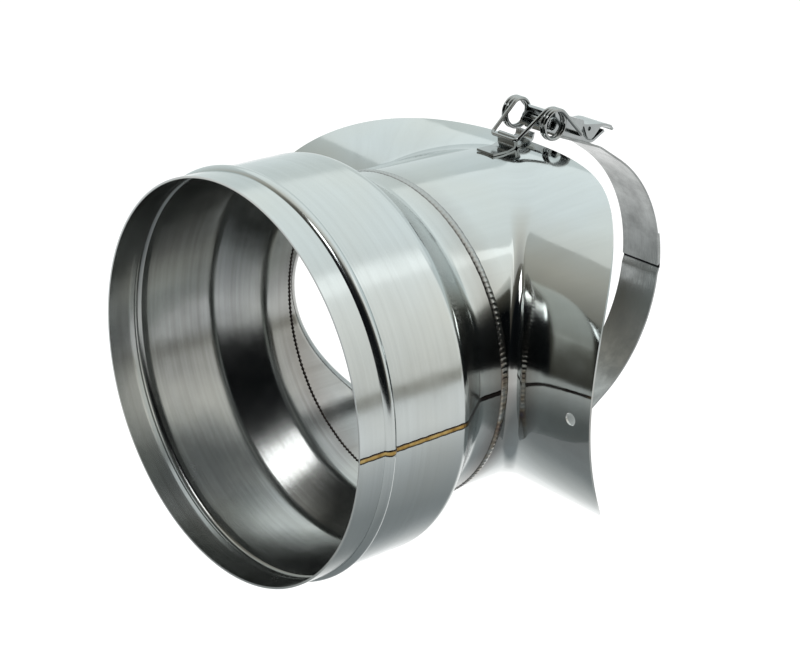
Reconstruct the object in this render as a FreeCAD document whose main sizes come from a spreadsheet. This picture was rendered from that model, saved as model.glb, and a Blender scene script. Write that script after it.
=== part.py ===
import FreeCAD, Part
import math
import os
import Sketcher
from FreeCAD import Placement, Rotation, Vector

# Clamp-on branch connector for a flue pipe. A round sheet blank is rolled into a saddle and
# its middle is pulled out into a collar. A socket with a bead, a shoulder and a neck is welded
# to the collar, and a strap with a sprung toggle latch draws the saddle on to the pipe.
# Frame: origin on the pipe's axis where the branch axis crosses it, X along the pipe, the
# socket's mouth towards -Y, +Z up through the latch. Lengths in millimetres, angles in degrees.

doc = FreeCAD.newDocument("flue_pipe_connector")
sheet = doc.addObject("Spreadsheet::Sheet", "dims")

SIZES = [
    # Saddle
    ("sheet_wall", 0.8, "wall of the saddle and the socket"),
    ("pipe_radius", 65.0, "inside radius of the saddle"),
    ("blank_radius", 102.3, "reach of the blank along the pipe"),
    ("blank_round", 100.1, "reach of the blank round the pipe"),
    ("blank_corner_above", 2.0, "how much more it reaches between those, on the upper half"),
    ("blank_corner_below", 3.6, "the same on the lower half"),
    ("neck_inset", 2.0, "how far the neck's outside lies inside the saddle's outside"),
    ("collar_rise", 4.6, "from the saddle's crown to the weld"),
    ("collar_fillet", 4.4, "outside radius where the collar turns out of the saddle"),
    ("screw_hole_radius", 2.4, "the hole in the saddle's wing"),
    ("screw_hole_reach", 93.0, "from the branch axis to the hole, along the pipe"),
    ("screw_hole_turn", 2.6, "how far the hole lies below the crown line, degrees round the pipe"),
    # Socket
    ("socket_bore", 75.6, "inside radius of the socket"),
    ("socket_depth", 48.6, "from the mouth to the shoulder's corner"),
    ("shoulder_length", 17.3, "the cone between socket and neck, along the branch"),
    ("neck_length", 11.9, "from the shoulder to the weld"),
    ("corner_radius", 2.0, "bend at both ends of the shoulder, on the outside"),
    ("bead_setback", 13.4, "from the mouth to the middle of the bead"),
    ("bead_width", 5.0, "width of the bead"),
    ("bead_height", 1.5, "how far the bead stands out"),
    # Welds
    ("weld_width", 3.2, "width of the weld round the neck"),
    ("weld_height", 0.45, "how far the weld round the neck stands out"),
    ("seam_width", 2.4, "width of the lengthwise seam"),
    ("seam_height", 0.2, "how far the lengthwise seam stands out"),
    ("seam_turn", 1.1, "how far the seam lies below the pipe's side, degrees round the branch"),
    # Strap
    ("strap_radius", 61.1, "inside radius of the strap as it springs with no pipe in it"),
    ("strap_offset", 7.2, "from the pipe's axis back to the centre of the strap's curve"),
    ("strap_wall", 0.8, "wall of the strap"),
    ("strap_width", 20.0, "width of the strap"),
    ("strap_foot", 12.0, "overlap of the strap under the saddle, along the curve"),
    ("strap_seat", 93.0, "where the strap leaves the saddle's outside, degrees round from the mouth"),
    ("strap_leave", 123.0, "where the strap's own curve ends below, degrees round from the mouth"),
    ("strap_rise", 123.0, "where the strap's own curve ends above, degrees round from the mouth"),
    ("strap_bend", 18.0, "inside radius of the bends beyond both ends of that curve"),
    ("strap_end", 3.5, "from the pivot back to the strap's upper end"),
    ("lap_length", 14.0, "overlap of the strap's two lengths"),
    ("lap_gap", 1.0, "open line between the two lengths on the inside"),
    ("joggle_length", 3.0, "length over which the lower length steps out behind the upper one"),
    # Catch
    ("catch_width", 9.4, "width of the catch"),
    ("catch_wall", 0.9, "wall of the catch"),
    ("catch_front", 13.2, "from the pipe's axis to the wall that the bail pulls on, towards the mouth"),
    ("catch_foot", 11.0, "length of the foot in front of that wall"),
    ("catch_rise", 4.2, "how far the fold at the top of that wall stands above the saddle's top"),
    ("catch_lean", 0.35, "how far that fold leans over the bail"),
    ("catch_tail", 3.4, "from the pipe's axis to the catch's turned-up rear end"),
    ("catch_tail_rise", 3.8, "how far the rear end stands above the saddle's top"),
    # Latch, in its own plane: along the strap away from the mouth, and square to the strap
    ("latch_tilt", 20.0, "slope of the strap's straight end under the latch"),
    ("pivot_back", 4.3, "from the branch axis back to the pivot"),
    ("pivot_up", 72.2, "from the pipe's axis up to the pivot"),
    ("base_wall", 1.0, "wall of the latch base"),
    ("base_width", 11.6, "width of the latch base over its ears"),
    ("base_front", 4.4, "from the pivot to the base's front edge"),
    ("base_back", 27.0, "from the pivot back to where the base turns up"),
    ("base_stop", 8.0, "length of the turned-up end"),
    ("base_stop_angle", 47.0, "slope of the turned-up end"),
    ("base_stop_bend", 4.0, "outside radius of that turn"),
    ("base_side", 2.4, "height of the base's low sides"),
    ("ear_radius", 3.1, "round top of the ears about the pivot"),
    ("pivot_height", 3.45, "from the underside of the base to the pivot"),
    ("pivot_radius", 1.75, "outside radius of the hollow rivet"),
    ("pivot_bore", 1.05, "hole through the hollow rivet"),
    ("pivot_head", 2.7, "radius of the rivet's rolled heads"),
    ("pivot_head_depth", 0.6, "thickness of the rivet's rolled heads"),
    ("lever_width", 13.8, "width of the lever"),
    ("lever_wall", 0.9, "wall of the lever"),
    ("lever_top", 4.7, "from the pivot to the lever's top"),
    ("lever_front", 2.45, "from the pivot to the lever's front edge"),
    ("lever_skirt", 2.2, "from the pivot down to the edge of the lever's sides"),
    ("lever_waist", 18.3, "from the pivot to the groove across the lever"),
    ("lever_groove", 1.5, "depth of the groove across the lever"),
    ("tab_top", 5.7, "from the pivot to the top of the finger tab"),
    ("lever_length", 36.0, "from the pivot to the lever's tip"),
    ("tab_hole_radius", 0.9, "hole through the sides of the finger tab"),
    ("bail_reach", 13.2, "from the pivot to the holes that hold the bail's ends"),
    ("bail_drop", 0.9, "how far those holes lie below the pivot"),
    ("wire_radius", 0.78, "radius of the bail's wire"),
    ("coil_radius", 5.8, "radius of the coils to the middle of the wire"),
    ("coil_reach", 2.9, "from the pivot forward to the coils' centre"),
    ("coil_rise", 0.35, "from the pivot up to the coils' centre"),
    ("coil_pitch", 1.6, "spacing of the coils' turns"),
    ("coil_turns", 2.0, "whole turns in each coil"),
    ("coil_side", 8.6, "from the middle of the latch to each coil's inner turn"),
    ("bail_half", 6.9, "half the length of the bail's bar, to the middle of the wire"),
    ("bar_height", 2.9, "from the saddle's top up to the middle of the bail's bar"),
    ("bend_radius", 1.8, "radius of the wire's bends"),
    # Clearances
    ("pin_play", 0.05, "radial clearance of the rivet and of the bail's ends"),
    ("side_play", 0.2, "clearance between the lever's sides and the base's ears"),
    ("seat_play", 0.3, "clearance between the bail's bar and the catch"),
]

for row, (alias, value, meaning) in enumerate(SIZES, start=1):
    sheet.set("A%d" % row, alias)
    sheet.set("B%d" % row, str(value))
    sheet.set("C%d" % row, meaning)
    sheet.setAlias("B%d" % row, alias)
doc.recompute()


def size(alias):
    """A driving size as it stands in the sheet."""
    return float(sheet.get(alias))


def value_of(expression):
    """The number that an expression on the sheet gives."""
    result = sheet.evalExpression(expression)
    return float(getattr(result, "Value", result))


# Values that several pieces share, as expressions on the sheet
SADDLE_OUT = "(dims.pipe_radius + dims.sheet_wall)"
NECK_OUT = "(%s - dims.neck_inset)" % SADDLE_OUT
SOCKET_OUT = "(dims.socket_bore + dims.sheet_wall)"
WELD_Y = "(-%s - dims.collar_rise)" % SADDLE_OUT
NECK_Y = "(%s - dims.neck_length)" % WELD_Y
CORNER_Y = "(%s - dims.shoulder_length)" % NECK_Y
MOUTH_Y = "(%s - dims.socket_depth)" % CORNER_Y
STRAP_OUT = "(dims.strap_radius + dims.strap_wall)"
PIVOT_Y = "dims.pivot_back"
PIVOT_Z = "dims.pivot_up"


def origin_plane(body, role):
    """One of a body's own origin planes."""
    return [plane for plane in body.Origin.OriginFeatures if plane.Role == role][0]


def add_sketch(body, name, role, points, arcs=None):
    """A closed outline in a body. Each corner's place is bound to the sheet, and arcs gives
    the radius of a side that is round: positive where it turns left along the outline."""
    arcs = arcs or {}
    sketch = body.newObject("Sketcher::SketchObject", name)
    sketch.AttachmentSupport = (origin_plane(body, role), [""])
    sketch.MapMode = "FlatFace"
    corners = [Vector(value_of(across), value_of(up), 0) for across, up in points]
    ends = []
    for index, start in enumerate(corners):
        finish = corners[(index + 1) % len(corners)]
        if index in arcs:
            radius = value_of(arcs[index])
            chord = finish - start
            height = math.sqrt(max(radius ** 2 - (chord.Length / 2) ** 2, 0))
            left = Vector(-chord.y, chord.x, 0).normalize()
            turn = 1 if radius > 0 else -1
            centre = (start + finish) * 0.5 + left * (turn * height)
            first, last = (start, finish) if turn > 0 else (finish, start)
            circle = Part.Circle(centre, Vector(0, 0, 1), abs(radius))
            sketch.addGeometry(Part.ArcOfCircle(circle, circle.parameter(first),
                                                circle.parameter(last)), False)
            ends.append((1, 2) if turn > 0 else (2, 1))
        else:
            sketch.addGeometry(Part.LineSegment(start, finish), False)
            ends.append((1, 2))
    count = len(corners)
    for index in range(count):
        follower = (index + 1) % count
        sketch.addConstraint(Sketcher.Constraint("Coincident", index, ends[index][1],
                                                 follower, ends[follower][0]))
    for index, (across, up) in enumerate(points):
        for kind, expression in (("DistanceX", across), ("DistanceY", up)):
            name = "%s_%d" % ("across" if kind == "DistanceX" else "up", index)
            place = sketch.addConstraint(Sketcher.Constraint(kind, -1, 1, index, ends[index][0],
                                                             value_of(expression)))
            sketch.renameConstraint(place, name)
            sketch.setExpression("Constraints." + name, expression)
    for index, expression in arcs.items():
        place = sketch.addConstraint(Sketcher.Constraint("Radius", index,
                                                         abs(value_of(expression))))
        sketch.renameConstraint(place, "radius_%d" % index)
        sketch.setExpression("Constraints.radius_%d" % index, "abs(%s)" % expression)
    return sketch


def add_body(name):
    body = doc.addObject("PartDesign::Body", name)
    body.Label = name
    return body


def pad_across(body, name, sketch, width):
    """A pad of an outline, half to each side of the middle plane."""
    pad = body.newObject("PartDesign::Pad", name)
    pad.Profile = sketch
    pad.Midplane = True
    pad.setExpression("Length", width)
    doc.recompute()
    return pad


def pocket_across(body, name, sketch, width):
    """A pocket of an outline, half to each side of the middle plane."""
    pocket = body.newObject("PartDesign::Pocket", name)
    pocket.Profile = sketch
    pocket.Midplane = True
    pocket.setExpression("Length", width)
    doc.recompute()
    return pocket


def edges_at(shape, test):
    """Names of the edges that pass a test."""
    return ["Edge%d" % number for number, edge in enumerate(shape.Edges, start=1) if test(edge)]


def fillet_edges(body, name, base, test, radius):
    fillet = body.newObject("PartDesign::Fillet", name)
    fillet.Base = (base, edges_at(base.Shape, test))
    fillet.setExpression("Radius", radius)
    doc.recompute()
    return fillet


def place_in_latch(body):
    """Latch pieces are drawn about the pivot: Y along the strap, Z square to it."""
    body.Placement = Placement(Vector(0, value_of(PIVOT_Y), value_of(PIVOT_Z)),
                               Rotation(Vector(1, 0, 0), -size("latch_tilt")))
    body.setExpression("Placement.Base.y", PIVOT_Y)
    body.setExpression("Placement.Base.z", PIVOT_Z)


def bent_path(points, radii):
    """A wire through points whose inner corners are rounded by tangent arcs."""
    edges = []
    start = points[0]
    for before, corner, after, radius in zip(points, points[1:], points[2:], radii):
        back = (before - corner).normalize()
        ahead = (after - corner).normalize()
        half_turn = (math.pi - back.getAngle(ahead)) / 2
        if half_turn < 1e-6 or radius <= 0:
            edges.append(Part.LineSegment(start, corner).toShape())
            start = corner
            continue
        setback = radius * math.tan(half_turn)
        enter = corner + back * setback
        leave = corner + ahead * setback
        middle = corner + (back + ahead).normalize() * (radius / math.cos(half_turn) - radius)
        edges.append(Part.LineSegment(start, enter).toShape())
        edges.append(Part.Arc(enter, middle, leave).toShape())
        start = leave
    edges.append(Part.LineSegment(start, points[-1]).toShape())
    return Part.Wire(edges)


def face_between(inner, outer):
    """The face between two open lines, closed by a straight edge at either end."""
    ends = [Part.LineSegment(inner.OrderedVertexes[place].Point,
                             outer.OrderedVertexes[place].Point).toShape() for place in (0, -1)]
    return Part.Face(Part.Wire(Part.__sortEdges__(inner.Edges + outer.Edges + ends)))


def strip_between(inner, outer, width):
    """A strip of sheet between the lines of its two faces, centred on X = 0."""
    face = face_between(inner, outer)
    face.translate(Vector(-width / 2, 0, 0))
    return face.extrude(Vector(width, 0, 0))


def add_feature(name, shape):
    feature = doc.addObject("Part::Feature", name)
    feature.Label = name
    feature.Shape = shape
    return feature


def point_on_ring(radius, angle, centre_y=0.0):
    """A point of the middle plane. The angle runs from the mouth's side up over the top."""
    turn = math.radians(angle)
    return Vector(0, centre_y - radius * math.cos(turn), radius * math.sin(turn))


def ring_arc(radius, start, finish, centre_y=0.0):
    middle = point_on_ring(radius, (start + finish) / 2, centre_y)
    return Part.Arc(point_on_ring(radius, start, centre_y), middle,
                    point_on_ring(radius, finish, centre_y)).toShape()


# Socket: one sheet, rolled, seamed and formed. The outside is revolved, its corners are
# rounded, and the wall is then left by hollowing it out through both ends.

def build_socket():
    body = add_body("socket_body")
    bead_out = "((dims.bead_width ^ 2 / 4 + dims.bead_height ^ 2) / (2 * dims.bead_height))"
    bead_y = "(%s + dims.bead_setback)" % MOUTH_Y
    points = [("0", MOUTH_Y),
              (SOCKET_OUT, MOUTH_Y),
              (SOCKET_OUT, "%s - dims.bead_width / 2" % bead_y),
              (SOCKET_OUT, "%s + dims.bead_width / 2" % bead_y),
              (SOCKET_OUT, CORNER_Y),
              (NECK_OUT, NECK_Y),
              (NECK_OUT, WELD_Y),
              ("0", WELD_Y)]
    sketch = add_sketch(body, "socket_outline", "XY_Plane", points, {2: bead_out})
    doc.recompute()
    revolved = body.newObject("PartDesign::Revolution", "socket_outside")
    revolved.Profile = sketch
    revolved.ReferenceAxis = (sketch, ["V_Axis"])
    revolved.Angle = 360
    doc.recompute()
    corner_y, neck_y = value_of(CORNER_Y), value_of(NECK_Y)

    def at_shoulder(edge):
        middle = edge.BoundBox.Center
        round_edge = edge.BoundBox.XLength > 1
        return round_edge and edge.BoundBox.YLength < 0.01 and (
            abs(middle.y - corner_y) < 0.01 or abs(middle.y - neck_y) < 0.01)

    rounded = fillet_edges(body, "shoulder_bends", revolved, at_shoulder, "dims.corner_radius")
    ends = ["Face%d" % number for number, face in enumerate(rounded.Shape.Faces, start=1)
            if face.BoundBox.YLength < 0.001]
    hollow = body.newObject("PartDesign::Thickness", "socket_wall")
    hollow.Base = (rounded, ends)
    hollow.Reversed = True
    hollow.Join = 0
    hollow.setExpression("Value", "dims.sheet_wall")
    doc.recompute()
    body.Tip = hollow
    return body


# Saddle: the round blank lies on the pipe's cylinder, and its middle is pulled out as a collar
# whose bend keeps the wall's thickness. Each half along the pipe is made of an upper and a lower
# piece beside the collar and two for the wing beyond it, and one half mirrors the other.

def pulled_tee(pipe_radius, neck_radius, bend, length, top_y):
    """A full pipe with a branch whose joint is rounded."""
    pipe = Part.makeCylinder(pipe_radius, 2 * length, Vector(-length, 0, 0), Vector(1, 0, 0))
    neck = Part.makeCylinder(neck_radius, -top_y, Vector(0, 0, 0), Vector(0, -1, 0))
    tee = pipe.fuse(neck).removeSplitter()
    joint = [edge for edge in tee.Edges
             if edge.BoundBox.XLength > neck_radius and edge.BoundBox.XMax < length - 1
             and edge.BoundBox.YMax > top_y + 0.01]
    return tee.makeFillet(bend, joint)


def blank_wall(pipe_radius, reach):
    """The blank's rim, square to the pipe: straight lines out of the pipe's axis through the
    nearly round rim of the flat blank, wrapped on the pipe."""
    steps = 72
    inner, outer = [], []
    for step in range(steps):
        turn = 2 * math.pi * step / steps
        corner = size("blank_corner_above" if math.sin(turn) > 0 else "blank_corner_below")
        radius = (size("blank_radius") * math.cos(turn) ** 2
                  + size("blank_round") * math.sin(turn) ** 2
                  + corner * (1 - math.cos(2 * turn) ** 4))
        along = radius * math.cos(turn)
        angle = math.degrees(radius * math.sin(turn) / pipe_radius)
        inner.append(point_on_ring(pipe_radius - reach, angle) + Vector(along, 0, 0))
        outer.append(point_on_ring(pipe_radius + reach, angle) + Vector(along, 0, 0))
    curves = []
    for points in (inner, outer):
        curve = Part.BSplineCurve()
        curve.interpolate(points, PeriodicFlag=True)
        curves.append(curve.toShape())
    return Part.makeRuledSurface(curves[0], curves[1])


def build_saddle():
    wall = size("sheet_wall")
    inside = size("pipe_radius")
    outside = value_of(SADDLE_OUT)
    neck = value_of(NECK_OUT)
    bend = size("collar_fillet")
    top_y = value_of(WELD_Y)
    length = size("blank_radius") + 10
    solid = pulled_tee(outside, neck, bend, length, top_y).cut(
        pulled_tee(inside, neck - wall, bend + wall, length + 1, top_y - 1))
    pieces = solid.generalFuse([blank_wall(outside, neck * 0.3)])[0].Solids
    crown = Vector(neck + (size("blank_radius") - neck) / 2, -outside + wall / 2, 0)
    whole = min(pieces, key=lambda piece: piece.distToShape(Part.Vertex(crown))[0])
    wing = neck + bend + 1.8
    parts = [whole.common(Part.makeBox(far - near, 4 * length, 2 * length,
                                       Vector(near, -2 * length, low)))
             for near, far in ((0, wing), (wing, 2 * length)) for low in (0, -2 * length)]
    half = parts[0].fuse(parts[1:])
    saddle = half.fuse(half.mirror(Vector(0, 0, 0), Vector(1, 0, 0)))
    hole = Part.makeCylinder(size("screw_hole_radius"), 2 * outside, Vector(0, 0, 0),
                             Vector(0, -1, 0))
    hole.rotate(Vector(0, 0, 0), Vector(1, 0, 0), size("screw_hole_turn"))
    hole.translate(Vector(size("screw_hole_reach"), 0, 0))
    return add_feature("saddle", saddle.cut(hole))


# Welds: a low crowned ring over the joint of collar and neck, and the lengthwise seam of the
# rolled socket.

def build_neck_weld():
    """A ring of crowned section, hollowed by the collar and the neck that it lies on."""
    cap = "((dims.weld_width ^ 2 / 4 + dims.weld_height ^ 2) / (2 * dims.weld_height))"
    ring = doc.addObject("Part::Torus", "weld_ring")
    ring.setExpression("Radius1", "%s + dims.weld_height - %s" % (NECK_OUT, cap))
    ring.setExpression("Radius2", cap)
    ring.Placement = Placement(Vector(0, value_of(WELD_Y), 0), Rotation(Vector(1, 0, 0), 90))
    ring.setExpression("Placement.Base.y", WELD_Y)
    seat = doc.addObject("Part::Feature", "weld_seat")
    outside = value_of(SADDLE_OUT)
    seat.Shape = pulled_tee(outside, value_of(NECK_OUT), size("collar_fillet"), 2 * outside,
                            value_of(WELD_Y) - 8 * value_of(cap))
    weld = doc.addObject("Part::Cut", "neck_weld")
    weld.Label = "neck_weld"
    weld.Base = ring
    weld.Tool = seat
    return weld


def build_seam_weld():
    """The seam's outline is the socket's own outside and the same line one seam height out."""
    mouth, corner, neck = value_of(MOUTH_Y), value_of(CORNER_Y), value_of(NECK_Y)
    end = value_of(WELD_Y) - size("weld_width") / 2
    half = size("bead_width") / 2
    crown = size("bead_height")
    bead = mouth + size("bead_setback")
    bead_radius = (half ** 2 + crown ** 2) / (2 * crown)
    slope = math.atan2(value_of(SOCKET_OUT) - value_of(NECK_OUT), neck - corner)

    def line(skin):
        out = value_of(SOCKET_OUT) + skin
        reach = math.sqrt((bead_radius + skin) ** 2 - (bead_radius - crown + skin) ** 2)
        shift = skin * math.tan(slope / 2)
        before = Vector(out, bead - reach, 0)
        after = Vector(out, bead + reach, 0)
        edges = [Part.LineSegment(Vector(out, mouth, 0), before).toShape(),
                 Part.Arc(before, Vector(out + crown, bead, 0), after).toShape()]
        edges += bent_path([after, Vector(out, corner + shift, 0),
                            Vector(value_of(NECK_OUT) + skin, neck + shift, 0),
                            Vector(value_of(NECK_OUT) + skin, end, 0)],
                           [size("corner_radius") + skin, size("corner_radius") - skin]).Edges
        return Part.Wire(edges)

    profile = face_between(line(0.0), line(size("seam_height")))
    angle = math.degrees(size("seam_width") / value_of(SOCKET_OUT))
    profile.rotate(Vector(0, 0, 0), Vector(0, 1, 0), size("seam_turn") - angle / 2)
    return add_feature("seam_weld", profile.revolve(Vector(0, 0, 0), Vector(0, 1, 0), angle))


# Strap: two lengths that meet at the back. The upper one runs straight under the latch, and
# the lower one follows the saddle's underside.

def build_straps():
    radius = size("strap_radius")
    wall = size("strap_wall")
    offset = size("strap_offset")
    width = size("strap_width")
    tilt = size("latch_tilt")
    saddle_out = value_of(SADDLE_OUT)
    slope = math.radians(tilt)
    level = Vector(0, math.sin(slope), math.cos(slope))
    ahead = Vector(0, -math.cos(slope), math.sin(slope))
    pivot = Vector(0, value_of(PIVOT_Y), value_of(PIVOT_Z))

    def upper_line(skin):
        """One face of the upper length: skin is its height above the inner face."""
        leave = point_on_ring(radius + skin, size("strap_rise"), offset)
        leave_way = point_on_ring(1, size("strap_rise") - 90)
        end = pivot - ahead * size("strap_end") - level * (size("pivot_height") + wall - skin)
        corner = leave + leave_way * ((end - leave).cross(ahead).x / leave_way.cross(ahead).x)
        edges = [ring_arc(radius + skin, 180, size("strap_rise"), offset)]
        edges += bent_path([leave, corner, end], [size("strap_bend") + wall - skin]).Edges
        return Part.Wire(edges)

    upper = strip_between(upper_line(0.0), upper_line(wall), width)

    foot_angle = math.degrees(size("blank_round") / size("pipe_radius"))
    foot_start = foot_angle - math.degrees(size("strap_foot") / saddle_out)
    gap_angle = math.degrees(size("lap_gap") / radius)
    joggle_angle = math.degrees(size("joggle_length") / radius)
    lap_angle = math.degrees(size("lap_length") / radius)

    def lower_line(skin):
        """One face of the lower length: skin is its height above the inner face. Two straight
        lines leave the saddle's curve and the strap's own curve and meet in a bend."""
        seat = point_on_ring(saddle_out + skin, -size("strap_seat"))
        leave = point_on_ring(radius + skin, -size("strap_leave"), offset)
        seat_way = point_on_ring(1, -size("strap_seat") - 90)
        leave_way = point_on_ring(1, -size("strap_leave") - 90)
        cross = seat_way.cross(leave_way).x
        corner = seat + seat_way * ((leave - seat).cross(leave_way).x / cross)
        edges = [ring_arc(saddle_out + skin, -foot_start, -size("strap_seat"))]
        edges += bent_path([seat, corner, leave], [size("strap_bend") + skin]).Edges
        step_start = -180 + gap_angle + joggle_angle
        edges.append(ring_arc(radius + skin, -size("strap_leave"), step_start, offset))
        low = point_on_ring(radius + skin, step_start, offset)
        high = point_on_ring(radius + skin + wall, -180 + gap_angle, offset)
        edges.append(Part.LineSegment(low, high).toShape())
        edges.append(ring_arc(radius + skin + wall, -180 + gap_angle, -180 - lap_angle, offset))
        return Part.Wire(edges)

    lower = strip_between(lower_line(0.0), lower_line(wall), width)
    return add_feature("strap_upper", upper), add_feature("strap_lower", lower)


# Catch: a narrow strip. Its front foot lies on the collar, the bail's bar pulls on a wall that
# is folded double, and its rear end is turned up where the strip leaves the saddle.

def folded_strip(points, radii, wall, width):
    """A strip of sheet along a line of corners in the plane X = 0. The line runs through the
    middle of the sheet, and radii are those of its bends."""
    def face_line(side):
        ways = [(after - before).normalize() for before, after in zip(points, points[1:])]
        lefts = [Vector(0, -way.z, way.y) for way in ways]
        corners = [points[0] + lefts[0] * side]
        turns = []
        for index, radius in enumerate(radii):
            before, after = lefts[index], lefts[index + 1]
            corners.append(points[index + 1] + (before + after) * (side / (1 + before.dot(after))))
            bend = ways[index].cross(ways[index + 1]).x
            turns.append(radius - side if bend > 0 else radius + side)
        corners.append(points[-1] + lefts[-1] * side)
        return bent_path(corners, turns)

    return strip_between(face_line(-wall / 2), face_line(wall / 2), width)


def catch_points():
    """Corners of the catch's middle line, from the foot to the turned-up rear end."""
    outside = value_of(SADDLE_OUT)
    wall = size("catch_wall")
    rest = value_of(NECK_OUT) + wall / 2 + 0.05
    front = size("catch_front") - wall / 2
    step = wall * 1.12
    tail = size("catch_tail")

    def on_saddle(reach):
        return math.sqrt(outside ** 2 - reach ** 2) + wall / 2 + 0.22

    top = outside + size("catch_rise") - wall / 2
    joint = math.sqrt(outside ** 2 - value_of(NECK_OUT) ** 2) + 0.6
    return [Vector(0, -front - wall / 2 - size("catch_foot"), rest),
            Vector(0, -joint, rest),
            Vector(0, -front, on_saddle(front)),
            Vector(0, -front - size("catch_lean"), top),
            Vector(0, -front - size("catch_lean") + step, top),
            Vector(0, -front + step, on_saddle(front - step)),
            Vector(0, -tail, on_saddle(tail)),
            Vector(0, -tail + 0.4, outside + size("catch_tail_rise"))]


def build_catch():
    wall = size("catch_wall")
    tight = wall / 2 + 0.05
    radii = [1.5, 0.9, tight, tight, 0.9, 2.0]
    return add_feature("catch", folded_strip(catch_points(), radii, wall, size("catch_width")))


# Latch base: a channel on the strap's straight end, with ears for the pivot and a turned-up end

def build_base():
    body = add_body("latch_base")
    low = "(-dims.pivot_height)"
    floor = "(%s + dims.base_wall)" % low
    back = "dims.base_back"
    slope = "dims.base_stop_angle * 1deg"
    tip_y = "(%s + dims.base_stop * cos(%s))" % (back, slope)
    tip_z = "(%s + dims.base_stop * sin(%s))" % (low, slope)
    points = [("-dims.base_front", low),
              (back, low),
              (tip_y, tip_z),
              ("%s - dims.base_wall * sin(%s)" % (tip_y, slope),
               "%s + dims.base_wall * cos(%s)" % (tip_z, slope)),
              ("%s - dims.base_wall * tan(%s / 2)" % (back, slope), floor),
              ("-dims.base_front", floor)]
    pad = pad_across(body, "base_floor",
                     add_sketch(body, "base_outline", "YZ_Plane", points), "dims.base_width")
    bends = {"outer": value_of(low), "inner": value_of(floor)}
    radii = {"outer": "dims.base_stop_bend", "inner": "dims.base_stop_bend - dims.base_wall"}
    for side in ("outer", "inner"):
        def at_bend(edge):
            box = edge.BoundBox
            return (box.XLength > 1 and box.YLength < 0.001 and box.YMin > size("base_back") - 2
                    and abs(box.ZMin - bends[side]) < 0.001)
        pad = fillet_edges(body, "base_%s_bend" % side, pad, at_bend, radii[side])
    side_top = "(%s + dims.base_side)" % low
    ear_side = "(dims.ear_radius * 0.96)"
    side_end = "(%s - dims.base_stop_bend)" % back
    ear = [("-dims.base_front", low),
           (side_end, low),
           (side_end, floor),
           ("%s - dims.base_side" % side_end, side_top),
           ("%s + dims.base_side" % ear_side, side_top),
           (ear_side, "0.28 * dims.ear_radius"),
           ("-" + ear_side, "0.28 * dims.ear_radius"),
           ("-dims.base_front", side_top)]
    pad_across(body, "base_ears",
               add_sketch(body, "ear_outline", "YZ_Plane", ear, {5: "dims.ear_radius"}),
               "dims.base_width")
    gap = [("-dims.base_front - 1", floor), (side_end, floor), (side_end, "2 * dims.ear_radius"),
           ("-dims.base_front - 1", "2 * dims.ear_radius")]
    pocket_across(body, "base_inside", add_sketch(body, "inside_outline", "YZ_Plane", gap),
                  "dims.base_width - 2 * dims.base_wall")
    last = round_hole(body, "ear_hole", "0", "0", "dims.pivot_radius", "dims.base_width + 2")
    body.Tip = last
    place_in_latch(body)
    return body


def round_hole(body, name, y_place, z_place, radius, width):
    """A hole across the latch, from side to side."""
    sketch = body.newObject("Sketcher::SketchObject", name + "_circle")
    sketch.AttachmentSupport = (origin_plane(body, "YZ_Plane"), [""])
    sketch.MapMode = "FlatFace"
    centre = Vector(value_of(y_place), value_of(z_place), 0)
    sketch.addGeometry(Part.Circle(centre, Vector(0, 0, 1), value_of(radius)), False)
    for kind, label, expression in (("DistanceX", "across", y_place), ("DistanceY", "up", z_place)):
        place = sketch.addConstraint(Sketcher.Constraint(kind, -1, 1, 0, 3, value_of(expression)))
        sketch.renameConstraint(place, label)
        sketch.setExpression("Constraints." + label, expression)
    place = sketch.addConstraint(Sketcher.Constraint("Radius", 0, value_of(radius)))
    sketch.renameConstraint(place, "radius")
    sketch.setExpression("Constraints.radius", radius)
    return pocket_across(body, name, sketch, width)


# Lever: a channel that opens downwards over the base's ears, with a groove across it, notched
# sides and a curled finger tab.

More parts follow.
